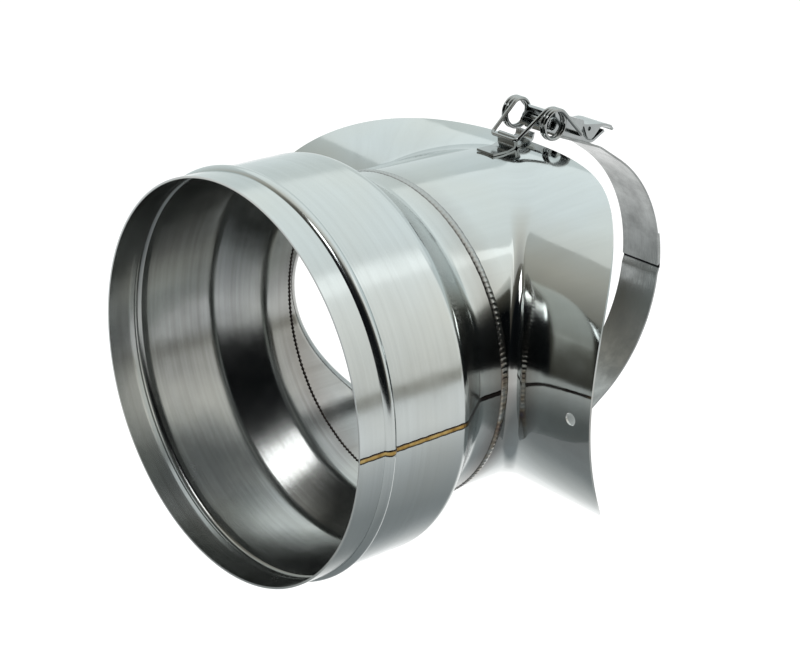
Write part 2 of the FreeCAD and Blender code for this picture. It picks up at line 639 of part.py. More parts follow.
def build_lever():
    body = add_body("lever")
    top = "dims.lever_top"
    under = "(dims.lever_top - dims.lever_wall)"
    skirt = "(-dims.lever_skirt)"
    waist = "dims.lever_waist"
    dip = "(dims.lever_top - dims.lever_groove)"
    tip = "dims.lever_length"
    tab = "dims.tab_top"
    tab_under = "(dims.tab_top - dims.lever_wall)"
    points = [("-dims.lever_front", skirt),
              (waist + " - 1.0", skirt),
              (waist + " - 0.2", "%s - dims.lever_wall" % dip),
              (waist + " + 0.3", "%s - dims.lever_wall" % dip),
              (waist + " + 3.4", "%s + 1.2" % skirt),
              (waist + " + 4.7", "%s + 0.3" % skirt),
              (waist + " + 6.6", "%s + 0.3" % skirt),
              (waist + " + 7.6", "%s + 1.5" % skirt),
              (waist + " + 9.7", "%s - 1.3" % tab_under),
              (waist + " + 11.2", "%s - 0.3" % tab_under),
              (tip + " - 5.0", tab_under),
              (tip + " - 2.4", "%s - 0.1" % tab_under),
              (tip + " - 0.6", "%s - 1.1" % tab_under),
              (tip, "%s - 1.3" % tab),
              (tip + " - 2.0", "%s - 0.1" % tab),
              (tip + " - 5.0", tab),
              (waist + " + 10.4", "%s - 0.3" % tab),
              (waist + " + 7.6", "%s - 1.1" % tab),
              (waist + " + 4.2", "%s - 1.8" % tab),
              (waist + " + 0.6", dip),
              (waist, dip),
              (waist + " - 0.7", "%s - 0.5" % top),
              (waist + " - 1.3", top),
              ("-dims.lever_front", top)]
    block = pad_across(body, "lever_block",
                       add_sketch(body, "lever_outline", "YZ_Plane", points), "dims.lever_width")

    def at_front_top(edge):
        box = edge.BoundBox
        return (box.XLength > 1 and box.YLength < 0.001
                and abs(box.YMin + size("lever_front")) < 0.001
                and abs(box.ZMin - size("lever_top")) < 0.001)

    fillet_edges(body, "front_corner", block, at_front_top, "dims.lever_wall * 2")
    hollow = [("-dims.lever_front - 1", "%s - 1" % skirt),
              (waist + " + 11.2", "%s - 1" % skirt),
              (waist + " + 11.2", "%s - 0.3" % tab_under),
              (waist + " + 7.9", "%s - 1.1" % tab_under),
              (waist + " + 4.4", "%s - 1.8" % tab_under),
              (waist + " + 0.7", "%s - dims.lever_wall" % dip),
              (waist + " - 0.2", "%s - dims.lever_wall" % dip),
              (waist + " - 0.9", "%s - 0.5" % under),
              (waist + " - 1.4", under),
              ("-dims.lever_front - 1", under)]
    pocket_across(body, "lever_inside", add_sketch(body, "lever_hollow", "YZ_Plane", hollow),
                  "dims.lever_width - 2 * dims.lever_wall")
    round_hole(body, "pivot_hole", "0", "0", "dims.pivot_radius + dims.pin_play",
               "dims.lever_width + 2")
    round_hole(body, "tab_hole", waist + " + 3.6", "%s - 2.8" % tab_under, "dims.tab_hole_radius",
               "dims.lever_width + 2")
    last = round_hole(body, "bail_hole", "dims.bail_reach", "-dims.bail_drop",
                      "dims.wire_radius + dims.pin_play", "dims.lever_width + 2")
    body.Tip = last
    place_in_latch(body)
    return body


def build_pivot_rivet():
    """A hollow rivet with a rolled head at each end, turned about the pivot's axis."""
    body = add_body("pivot_rivet")
    half = "(dims.lever_width / 2 + dims.pin_play)"
    end = "(%s + dims.pivot_head_depth)" % half
    points = [("-" + end, "dims.pivot_bore"),
              (end, "dims.pivot_bore"),
              (end, "dims.pivot_head - dims.pivot_head_depth / 2"),
              (half, "dims.pivot_head"),
              (half, "dims.pivot_radius"),
              ("-" + half, "dims.pivot_radius"),
              ("-" + half, "dims.pivot_head"),
              ("-" + end, "dims.pivot_head - dims.pivot_head_depth / 2")]
    sketch = add_sketch(body, "rivet_outline", "XZ_Plane", points)
    doc.recompute()
    turned = body.newObject("PartDesign::Revolution", "rivet_turned")
    turned.Profile = sketch
    turned.ReferenceAxis = (sketch, ["H_Axis"])
    turned.Angle = 360
    doc.recompute()
    body.Tip = turned
    place_in_latch(body)
    return body


# Bail: one wire. From a hole in the lever it runs to a coil, winds, runs to the bar, and
# mirrors that on the other side.

def build_bail():
    tilt = math.radians(size("latch_tilt"))
    pivot = Vector(0, value_of(PIVOT_Y), value_of(PIVOT_Z))
    wire = size("wire_radius")
    coil = size("coil_radius")
    foot, top = [point - Vector(0, size("catch_wall") / 2, 0) for point in catch_points()[2:4]]
    bar_top = value_of(SADDLE_OUT) + size("bar_height")
    lean_at_bar = (foot.y - top.y) * (bar_top - foot.z) / (top.z - foot.z)
    bar = Vector(0, foot.y - lean_at_bar - wire - size("seat_play"), bar_top)
    rel = bar - pivot
    bar_y = rel.y * math.cos(tilt) - rel.z * math.sin(tilt)
    bar_z = rel.y * math.sin(tilt) + rel.z * math.cos(tilt)
    centre = Vector(0, -size("coil_reach"), size("coil_rise"))
    end = Vector(0, size("bail_reach"), -size("bail_drop"))

    def seen_from_coil(point):
        flat = point - centre
        return math.hypot(flat.y, flat.z), math.atan2(flat.z, flat.y)

    far, bearing = seen_from_coil(end)
    enter = bearing + math.acos(coil / far)
    near, bearing = seen_from_coil(Vector(0, bar_y, bar_z))
    leave = (bearing % (2 * math.pi)) - math.acos(coil / near)
    winding = leave - enter + 2 * math.pi * round(size("coil_turns"))
    side = size("coil_side")
    outer_side = side + size("coil_pitch") * winding / (2 * math.pi)

    # Each coil is a chain of arcs: the wire's corners lie on lines that touch the coil
    count = int(round(winding / math.radians(45)))
    turn_step = winding / count
    corner_radius = coil / math.cos(turn_step / 2)
    coil_corners = []
    for number in range(count):
        turn = enter + (number + 0.5) * turn_step
        across = outer_side + (side - outer_side) * (number + 0.5) / count
        coil_corners.append(Vector(across, centre.y + corner_radius * math.cos(turn),
                                   centre.z + corner_radius * math.sin(turn)))
    hook_in = Vector(size("lever_width") / 2 - size("lever_wall") + 0.1, end.y, end.z)
    hook_out = Vector(outer_side, end.y, end.z)
    bar_corner = Vector(size("bail_half"), bar_y, bar_z)
    bend = size("bend_radius")
    spine = bent_path([hook_in, hook_out] + coil_corners + [bar_corner, Vector(0, bar_y, bar_z)],
                      [bend] + [0.9 * coil] * count + [bend])
    section = Part.Face(Part.Wire([Part.Circle(hook_in, Vector(1, 0, 0), wire).toShape()]))
    half = spine.makePipe(section)
    if half.Volume < 0:
        half.reverse()
    other = half.mirror(Vector(0, 0, 0), Vector(1, 0, 0))
    bail = half.fuse(other).removeSplitter()
    print("bail wire: length %.1f, volume %.1f of %.1f" % (
        2 * spine.Length, bail.Volume, 2 * spine.Length * math.pi * wire ** 2))
    feature = add_feature("bail", bail)
    feature.Placement = Placement(pivot, Rotation(Vector(1, 0, 0), -size("latch_tilt")))
    return feature


def build_all():
    socket = build_socket()
    nodes = [socket, build_seam_weld(), build_neck_weld(), build_saddle()]
    nodes += list(build_straps())
    nodes.append(build_catch())
    nodes += [build_base(), build_pivot_rivet(), build_lever(), build_bail()]
    return nodes


nodes = build_all()
doc.recompute()

for item in doc.Objects:
    if "Invalid" in item.State or "Error" in item.State:
        raise RuntimeError("%s did not build: %s" % (item.Name, item.State))
for node in nodes:
    if node.Shape.isNull() or not node.Shape.isValid():
        raise RuntimeError("%s has no valid shape" % node.Label)

os.makedirs("parts", exist_ok=True)
for node in nodes:
    node.Shape.exportStep("parts/%s.step" % node.Label)
    box = node.Shape.BoundBox
    print("%-12s solids %d volume %9.1f  x %7.2f %7.2f  y %7.2f %7.2f  z %7.2f %7.2f" % (
        node.Label, len(node.Shape.Solids), node.Shape.Volume, box.XMin, box.XMax,
        box.YMin, box.YMax, box.ZMin, box.ZMax))
print("pivot at y %.3f z %.3f" % (value_of(PIVOT_Y), value_of(PIVOT_Z)))
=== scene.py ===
"""Looks for a flue pipe connector: a saddle with a pulled collar, a socket welded to it, and a
strap with a sprung toggle latch. Lengths here are in millimetres until a mesh is filled."""

import math

import bmesh
import bpy
import numpy as np
from bpy.props import FloatProperty, FloatVectorProperty, IntProperty, PointerProperty
from mathutils import Matrix, Vector


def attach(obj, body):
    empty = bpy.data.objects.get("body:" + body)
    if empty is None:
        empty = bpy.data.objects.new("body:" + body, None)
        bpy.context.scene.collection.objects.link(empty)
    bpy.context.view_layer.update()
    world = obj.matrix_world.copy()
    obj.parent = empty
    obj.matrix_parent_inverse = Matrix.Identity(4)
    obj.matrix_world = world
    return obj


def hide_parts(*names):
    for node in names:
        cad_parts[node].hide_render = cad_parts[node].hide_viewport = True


bl_info = {
    "name": "Flue pipe connector looks",
    "version": (1, 0, 0),
    "blender": (4, 5, 0),
    "location": "View3D > Sidebar > Connector",
    "description": "Dresses the packed flue pipe connector with its surfaces, welds and finishes",
    "category": "Object",
}

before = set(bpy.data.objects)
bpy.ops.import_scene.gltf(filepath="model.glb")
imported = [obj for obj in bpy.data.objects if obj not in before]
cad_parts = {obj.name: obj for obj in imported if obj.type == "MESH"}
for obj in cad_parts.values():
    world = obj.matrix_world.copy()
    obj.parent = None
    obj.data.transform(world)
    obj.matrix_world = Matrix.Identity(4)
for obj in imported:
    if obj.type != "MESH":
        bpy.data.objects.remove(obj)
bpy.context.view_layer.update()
MM = 0.001
DOUBLES = 2e-7  # metres: corners of a CAD copy that lie nearer than this are one corner
LAP_LINE = 0.4  # millimetres: how far the strap's open line lies below the pipe's axis

# The stage, in metres: the floor, the camera and the soft boxes with their places and sizes
FLOOR_Z = -0.30
FLOOR_REACH = 2.6
CAMERA_PLACE = (0.5485, -0.5425, 0.298)
CAMERA_RIGHT = (0.6496, 0.7600, 0.0211)
CAMERA_FORWARD = (-0.6981, 0.6072, -0.3793)
CAMERA_LENS = 92.066  # millimetres, on a sensor 36 mm wide
SOFT_BOXES = (("top_soft_box", (-0.25, 0.35, 1.3), (2.6, 2.0), "top_power"),
              ("side_soft_box", (1.1, 0.9, 0.75), (0.9, 1.6), "side_power"),
              ("mouth_soft_box", (0.05, -0.85, 1.15), (0.5, 0.35), "side_power"))
# The room's shade, from the way behind the object (0) round to the way in front of it (1)
ROOM = ((0.0, "#EEF7F7"), (0.25, "#E4ECEC"), (0.45, "#C3C1B8"), (0.60, "#68655D"),
        (0.76, "#121518"), (1.0, "#0A0C0E"))


def tint(hex_colour):
    """An sRGB hex colour as linear red, green, blue."""
    values = [int(hex_colour[i:i + 2], 16) / 255 for i in (1, 3, 5)]
    return tuple(v / 12.92 if v <= 0.04045 else ((v + 0.055) / 1.055) ** 2.4 for v in values)


def length(name, description, default):
    """A size that a user may change, in millimetres."""
    return FloatProperty(name=name, description=description + ", in millimetres", default=default,
                         min=0.0, soft_max=200.0, precision=2)


def turn_down(name, description, default):
    """A small turn that a user may change, in degrees."""
    return FloatProperty(name=name, description=description + ", in degrees", default=default,
                         soft_min=-90.0, soft_max=90.0, precision=2)


def colour(name, description, hex_colour):
    """A colour that a user may change, from its sRGB hex value."""
    return FloatVectorProperty(name=name, description=description, subtype="COLOR", size=3,
                               min=0.0, max=1.0, default=tint(hex_colour))


class ConnectorSizes(bpy.types.PropertyGroup):
    wall: length("Sheet wall", "Wall of the saddle and the socket", 0.8)
    pipe: length("Saddle radius", "Inside radius of the saddle", 65.0)
    blank_along: length("Blank, along", "Reach of the saddle's blank along the pipe", 102.3)
    blank_round: length("Blank, round", "Reach of the blank round the pipe", 100.1)
    blank_above: length("Blank corner above", "How much more it reaches between those, above", 2.0)
    blank_below: length("Blank corner below", "How much more it reaches between those, below", 3.6)
    screw_radius: length("Screw hole", "Radius of the hole in the saddle's wing", 2.4)
    screw_reach: length("Screw hole reach", "From the branch's axis along the pipe", 93.0)
    screw_turn: turn_down("Screw hole turn", "How far the hole lies below the middle", 2.6)
    neck: length("Neck radius", "Outside radius of the neck and the collar", 63.8)
    socket: length("Socket radius", "Outside radius of the socket", 76.4)
    fillet: length("Collar bend", "Outside radius where the collar leaves the saddle", 4.4)
    fillet_open: length("Collar bend, opening", "How much wider that bend gets on the crown", 22.0)
    mouth: length("Mouth", "From the pipe's axis to the mouth", 148.2)
    corner: length("Shoulder start", "From the pipe's axis to the shoulder's wide end", 99.6)
    waist: length("Shoulder end", "From the pipe's axis to the shoulder's narrow end", 82.3)
    weld: length("Weld", "From the pipe's axis to the weld round the neck", 70.4)
    bend: length("Shoulder bends", "Outside radius of both shoulder bends", 7.0)
    bead_back: length("Bead setback", "From the mouth to the middle of the bead", 13.4)
    bead_width: length("Bead width", "Width of the bead round the socket", 5.0)
    bead_height: length("Bead height", "How far the bead stands out", 1.5)
    weld_width: length("Weld width", "Width of the weld round the neck", 3.2)
    weld_height: length("Weld height", "How far the weld stands out", 0.42)
    ripple: length("Weld ripple", "Height of the ripples the torch left in the weld", 0.2)
    ripple_step: length("Ripple spacing", "Distance between two ripples", 2.0)
    seam_width: length("Seam width", "Width of the lengthwise seam", 2.4)
    seam_height: length("Seam height", "How far the lengthwise seam stands out", 0.2)
    seam_turn: turn_down("Seam turn", "How far the seam lies below the pipe's side", 1.1)
    around: IntProperty(name="Steps round", description="Faces round the socket and the saddle",
                        default=480, min=48, max=720)


def collar_bend(s, turn):
    """The collar's bend at each turn: tight at the sides and opening out over the crown, as a
    smooth step of the turn's height above the side, from 40 to 85 degrees."""
    height = np.degrees(np.arcsin(np.abs(np.sin(turn))))
    rise = np.clip((height - 40) / 45, 0, 1)
    return s.fillet + s.fillet_open * rise ** 2 * (3 - 2 * rise)


class ConnectorColours(bpy.types.PropertyGroup):
    mirror: colour("Polished sheet", "Mirror-polished stainless sheet", "#C4CACA")
    inside: colour("Strap sheet", "Dull rolled stainless strap", "#A2A5A4")
    bore: colour("Unpolished inside", "Dull inside of the socket and the saddle", "#A5A8A8")
    latch: colour("Latch sheet", "Bright pressed stainless sheet", "#ADB1B1")
    wire: colour("Spring wire", "Drawn stainless spring wire", "#A6A9A8")
    marks: colour("Handling marks", "Darker clouds on the sheet", "#787774")
    straw: colour("Straw tint", "Heat tint of the lengthwise seam", "#A8874A")
    brown: colour("Brown tint", "Heat tint beside the weld round the neck", "#6E5A50")
    straw_light: colour("Light straw", "Palest heat tint of the lengthwise seam", "#C2A76C")
    straw_dark: colour("Dark straw", "Darkest heat tint of the lengthwise seam", "#75592F")
    soot: colour("Burnt seam", "The seam over the shoulder and the neck", "#2C2725")
    oxide: colour("Oxide", "Dark borders of the welds", "#3E3835")
    bead: colour("Weld metal", "Rippled metal of the weld round the neck", "#A9ABA9")
    bead_warm: colour("Warm weld metal", "Lightest heat tint of the weld", "#968A78")
    violet: colour("Violet tint", "Strongest heat tint of the weld", "#5B5468")
    # Painted shadow for the open line where the strap's two lengths lap
    painted_lap_shadow: colour("Lap line", "Dirt between the strap's two lengths", "#17181A")
    # Painted shade in the floor's glow under and in front of the part
    shade: colour("Floor in shade", "The floor under and in front of the part", "#666C70")
    floor: colour("Floor", "Plain pale floor", "#FFFFFF")


class ConnectorLight(bpy.types.PropertyGroup):
    floor_glow: FloatProperty(name="Floor light", description="Own light of the pale floor",
                              default=0.96, min=0.0, soft_max=2.0)
    top_power: FloatProperty(name="Top light", description="Power of the soft box overhead",
                             default=5.0, min=0.0, unit="POWER")
    side_power: FloatProperty(name="Side light", description="Power of the soft box at the side",
                              default=2.4, min=0.0, unit="POWER")


# Meshes

def walked(line):
    """The distance walked along a line at each of its points: the sum of the steps so far."""
    return np.concatenate([[0], np.cumsum(np.linalg.norm(np.diff(line, axis=0), axis=-1))])


def spread(across, along):
    """A grid's pattern coordinates in metres, from one distance for each column and one for
    each row in millimetres."""
    return np.stack(np.broadcast_arrays(across[None], along[:, None]), 2) * MM


def sheet_mesh(name, points, uv, loop_rows=True, inner=None):
    """A surface over a grid: points[row, column] in millimetres, joined by four-cornered faces.
    The last column joins the first, and with loop_rows the last row does too. uv has one more
    line in a looped direction, so the pattern's coordinate doesn't jump back where the grid
    closes. inner holds one for the rows of the inside skin and nought for the others."""
    rows, columns = points.shape[:2]
    i, j = np.indices((rows if loop_rows else rows - 1, columns)).reshape(2, -1)
    corners = [(i, j), (i + 1, j), (i + 1, j + 1), (i, j + 1)]
    loops = np.stack([(a % rows) * columns + b % columns for a, b in corners], 1).ravel()
    flat = np.stack([uv[a, b] for a, b in corners], 1).reshape(-1, 2)
    mesh = bpy.data.meshes.new(name)
    mesh.vertices.add(rows * columns)
    mesh.vertices.foreach_set("co", (points.reshape(-1, 3) * MM).astype(np.float32).ravel())
    mesh.loops.add(len(loops))
    mesh.loops.foreach_set("vertex_index", loops.astype(np.int32))
    mesh.polygons.add(len(i))
    mesh.polygons.foreach_set("loop_start", np.arange(0, len(loops), 4, dtype=np.int32))
    mesh.update(calc_edges=True)
    layer = mesh.uv_layers.new(name="sheet")
    layer.data.foreach_set("uv", flat.astype(np.float32).ravel())
    if inner is not None:
        mark = mesh.attributes.new("inside", "FLOAT", "POINT")
        mark.data.foreach_set("value", np.repeat(inner, columns).astype(np.float32))
    return mesh


def close_and_turn(mesh, angle):
    """Fills open ends, turns every face outwards and marks edges sharper than the angle."""
    work = bmesh.new()
    work.from_mesh(mesh)
    open_edges = [e for e in work.edges if e.is_boundary]
    if open_edges:
        bmesh.ops.holes_fill(work, edges=open_edges, sides=0)
    bmesh.ops.recalc_face_normals(work, faces=work.faces)
    work.to_mesh(mesh)
    work.free()
    mesh.shade_smooth()
    mesh.set_sharp_from_angle(angle=math.radians(angle))


def add_piece(name, mesh, body, material, slot, *nodes):
    """A new piece with its material, riding on a body and taking the place of CAD nodes."""
    piece = bpy.data.objects.new(name, mesh)
    bpy.context.scene.collection.objects.link(piece)
    mesh.materials.clear()
    mesh.materials.append(material)
    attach(piece, body)
    if nodes:
        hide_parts(*nodes)
    return piece


def smooth_copy(node, name, material, slot, body, angle=32):
    """A CAD node's own shape with its corners merged, so that its curves shade as curves."""
    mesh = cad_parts[node].data.copy()
    mesh.name = name
    work = bmesh.new()
    work.from_mesh(mesh)
    bmesh.ops.remove_doubles(work, verts=work.verts, dist=DOUBLES)
    work.to_mesh(mesh)
    work.free()
    if mesh.has_custom_normals:
        mesh.attributes.remove(mesh.attributes["custom_normal"])
    mesh.shade_smooth()
    mesh.set_sharp_from_angle(angle=math.radians(angle))
    return add_piece(name, mesh, body, material, slot, node)


def arc(centre, radius, start, finish, count):
    """Points on a circle: the centre plus the radius times cosine and sine of an even angle."""
    a = np.radians(np.linspace(start, finish, count))
    return np.stack([centre[0] + radius * np.cos(a), centre[1] + radius * np.sin(a)], 1)


def socket_line(s, skin):
    """The socket's outline, distance along the branch axis and radius, moved outwards by skin:
    a straight mouth, the bead as one arc, a straight wall, an arc, the cone, an arc, the neck."""
    half = s.bead_width / 2
    bead = (half ** 2 + s.bead_height ** 2) / (2 * s.bead_height)
    middle = s.mouth - s.bead_back
    top = s.socket + s.bead_height - bead
    reach = math.degrees(math.acos(min(1.0, (bead - s.bead_height) / bead)))
    slope = math.degrees(math.atan2(s.socket - s.neck, s.corner - s.waist))
    tan_half = s.bend * math.tan(math.radians(slope / 2))
    line = [np.array([[s.mouth, s.socket + skin]]),
            np.linspace([s.mouth - 0.5, s.socket + skin],
                        [middle + half + 1.2, s.socket + skin], 10)]
    # The wall ends 1.2 mm before the bead, so a short slope softens the corner at both sides
    line.append(arc((middle, top), bead + skin, 90 - reach, 90 + reach, 26))
    line.append(np.linspace([middle - half - 1.2, s.socket + skin],
                            [s.corner + tan_half + 1, s.socket + skin], 18))
    line.append(arc((s.corner + tan_half, s.socket - s.bend), s.bend + skin, 90, 90 + slope, 10))
    line.append(arc((s.waist - tan_half, s.neck + s.bend), s.bend - skin, 270 + slope, 270, 10))
    line.append(np.linspace([s.waist - tan_half - 1, s.neck + skin], [s.weld, s.neck + skin], 8))
    line = np.concatenate(line)
    order = walked(line)
    fine = np.unique(np.concatenate([order, np.arange(0, order[-1], 1.1)]))
    return np.stack([np.interp(fine, order, line[:, 0]), np.interp(fine, order, line[:, 1])], 1)


def turned(line, around):
    """A closed outline turned round the branch axis: x is radius times cosine of the turn, z is
    radius times its sine, and y is minus the distance along the axis."""
    turn = np.linspace(0, 2 * math.pi, around, endpoint=False)[None, :]
    y, r = line[:, 0][:, None], line[:, 1][:, None]
    return np.stack([r * np.cos(turn), -y + 0 * turn, r * np.sin(turn)], 2)


def saddle_grid(s, around):
    """The saddle's two skins and its edges as one closed grid. A column is one turn round the
    branch axis. The rim is the nearly round flat blank wrapped on the pipe: along = r cosine,
    angle = r sine over the pipe's radius. The collar's bend is a ball that rolls between the
    pipe and the neck: its centre lies one bend further out than both walls, and the surface is
    the arc from where it touches the pipe to where it touches the neck."""
    turn = np.linspace(0, 2 * math.pi, around, endpoint=False)
    cos, sin = np.cos(turn), np.sin(turn)
    outside = s.pipe + s.wall
    corner = np.where(sin > 0, s.blank_above, s.blank_below)
    reach = (s.blank_along * cos ** 2 + s.blank_round * sin ** 2
             + corner * (1 - np.cos(2 * turn) ** 4))
    rim = np.stack([reach * cos, reach * sin], 1)
    ball = collar_bend(s, turn)
    cx, cz = (s.neck + ball) * cos, (s.neck + ball) * sin
    cy = np.sqrt((outside + ball) ** 2 - cz ** 2)
    touch = np.stack([cx, outside * np.arctan2(cz, cy)], 1)

    def skin(inset):
        radius, neck, bend = outside - inset, s.neck - inset, (ball + inset)[None, :, None]
        part = np.linspace(0, 1, 44)[:, None, None]
        flat = rim[None] * (1 - part) + touch[None] * part
        angle = flat[..., 1] / outside
        wall = np.stack([flat[..., 0], -radius * np.cos(angle), radius * np.sin(angle)], 2)
        centre = np.stack([cx, -cy, cz], 1)
        to_pipe = np.stack([0 * cx, cy, -cz], 1) / (outside + ball)[:, None]
        to_neck = np.stack([-cos, 0 * cos, -sin], 1)
        between = np.arccos(np.clip((to_pipe * to_neck).sum(1), -1, 1))[None, :, None]
        part = np.linspace(0, 1, 14)[1:, None, None]
        way = (np.sin((1 - part) * between) * to_pipe[None]
               + np.sin(part * between) * to_neck[None]) / np.sin(between)
        bent = centre[None] + bend * way
        part = np.linspace(0, 1, 15)[1:, None]
        y = -cy[None] * (1 - part) - s.weld * part
        straight = np.stack(np.broadcast_arrays(neck * cos[None], y, neck * sin[None]), 2)
        return np.concatenate([wall, bent, straight])

    return np.concatenate([skin(0.0), skin(s.wall)[::-1]])


def wander(turn, seeds):
    """A repeatable unevenness round a ring: the mean of a few sine waves with fixed phases."""
    return sum(math.sin(1.7 * k) * np.sin(k * turn + 2.3 * k) for k in seeds) / len(seeds)


def bead_grid(s):
    """The weld round the neck. Across, height is one minus the square of the place; along, each
    pool of metal froze as a bent ripple, so the height also has one minus the power 0.7 of the
    sine of half the phase, and the phase lags with the square of the place across. It follows
    the collar's bend where that begins before the weld ends."""
    ripples = int(2 * math.pi * s.neck / s.ripple_step)
    steps = ripples * 8
    turn = np.linspace(0, 2 * math.pi, steps, endpoint=False)
    v = np.linspace(-1, 1, 15)[:, None]
    half = s.weld_width / 2 * (1 + 0.10 * wander(turn, (23, 37, 61, 97)))[None]
    y = -s.weld + 0.12 * wander(turn, (5, 11, 19, 41))[None] + half * v
    phase = ripples * turn[None] + 1.9 * v ** 2 + 0.8 * wander(turn, (7, 13, 29))[None]
    wave = 1 - np.abs(np.sin(phase / 2)) ** 0.7
    height = s.weld_height * (1 - v ** 2) + s.ripple * (wave - 0.5) * (1 - v ** 4)
    cz = (s.neck + s.fillet) * np.sin(turn)
    cy = -np.sqrt((s.pipe + s.wall + s.fillet) ** 2 - cz ** 2)[None]
    rise = np.clip(y - cy, 0, s.fillet * 0.9)
    base = s.neck + s.fillet - np.sqrt(s.fillet ** 2 - rise ** 2)
    radius = base + np.maximum(height, -0.05)
    over = np.stack([radius * np.cos(turn), y, radius * np.sin(turn)], 2)
    low, ends = base[::7][::-1] - 0.25, y[::7][::-1]
    under = np.stack([low * np.cos(turn), ends, low * np.sin(turn)], 2)
    return np.concatenate([over, under]), steps


def root_grid(s):
    """The weld's root inside the neck, one drop every 1.7 mm: a narrow, uneven ring whose height
    inwards is one minus the square of the place across, broken up by the cosine of the turn."""
    inside = s.neck - s.wall
    drops = int(2 * math.pi * inside / 1.7)
    turn = np.linspace(0, 2 * math.pi, drops * 8, endpoint=False)
    v = np.linspace(-1, 1, 9)[:, None]
    half = 0.62 + 0.22 * np.cos(drops * turn + 1.5 * wander(turn, (9, 17, 31)))[None]
    y = -s.weld + 0.2 * wander(turn, (4, 9, 15, 33))[None] + half * v
    height = (0.26 + 0.10 * np.cos(drops * turn)[None]) * (1 - v ** 2)
    radius = inside + 0.02 - height
    over = np.stack([radius * np.cos(turn), y, radius * np.sin(turn)], 2)
    foot, ends = inside + 0.2, y[::4]
    low = np.stack([foot * np.cos(turn) + 0 * ends, ends, foot * np.sin(turn) + 0 * ends], 2)[::-1]
    return np.concatenate([over, low])


def seam_grid(s):
    """The lengthwise seam: the socket's outline carried along a narrow turn, its height one
    minus the fourth power of the place across, with a fine ripple every 0.9 mm along it."""
    line = socket_line(s, 0.0)
    along = walked(line)
    fine = np.arange(0, along[-1] - s.weld_width / 2, 0.22)
    y = np.interp(fine, along, line[:, 0])[:, None]
    r = np.interp(fine, along, line[:, 1])[:, None]
    v = np.linspace(-1, 1, 9)[None]
    uneven = 1 + 0.08 * np.sin(fine * 1.3) * np.sin(fine * 0.37)
    width = s.seam_width / 2 / s.socket * uneven[:, None]
    ripple = 0.03 * np.cos(2 * math.pi * fine[:, None] / 0.9 + v ** 2)
    middle = -math.radians(s.seam_turn)

    def skin(radius, v):
        turn = middle + width * v
        return np.stack(np.broadcast_arrays(radius * np.cos(turn), -y, radius * np.sin(turn)), 2)

    top = skin(r + s.seam_height * (1 - v ** 4) + ripple, v)
    return np.concatenate([top, skin(r - 0.1, v[:, ::-1])], 1), fine


# Materials

def add(tree, kind, inputs=None, stops=(), **settings):
    """Adds a node. inputs gives each socket a value or the output that feeds it, and stops gives
    a ramp its places and colours."""
    node = tree.nodes.new(kind)
    for key, value in settings.items():
        setattr(node, key, value)
    for key, value in (inputs or {}).items():
        if isinstance(value, bpy.types.NodeSocket):
            tree.links.new(value, node.inputs[key])
        else:
            node.inputs[key].default_value = value
    if stops:
        elements = node.color_ramp.elements
        for _ in stops[2:]:
            elements.new(0.5)
        for element, (place, shade) in zip(elements, stops):
            element.position = place
            element.color = (*shade, 1)
    return node


def new_metal(name, base, roughness):
    """A metal of one colour and roughness, with its node tree and its shader."""
    material = bpy.data.materials.new(name)
    material.use_nodes = True
    tree = material.node_tree
    tree.nodes.clear()
    shader = add(tree, "ShaderNodeBsdfPrincipled",
                 {"Metallic": 1.0, "Roughness": roughness, "Base Color": (*base, 1)})
    add(tree, "ShaderNodeOutputMaterial", {"Surface": shader.outputs[0]})
    return material, tree, shader


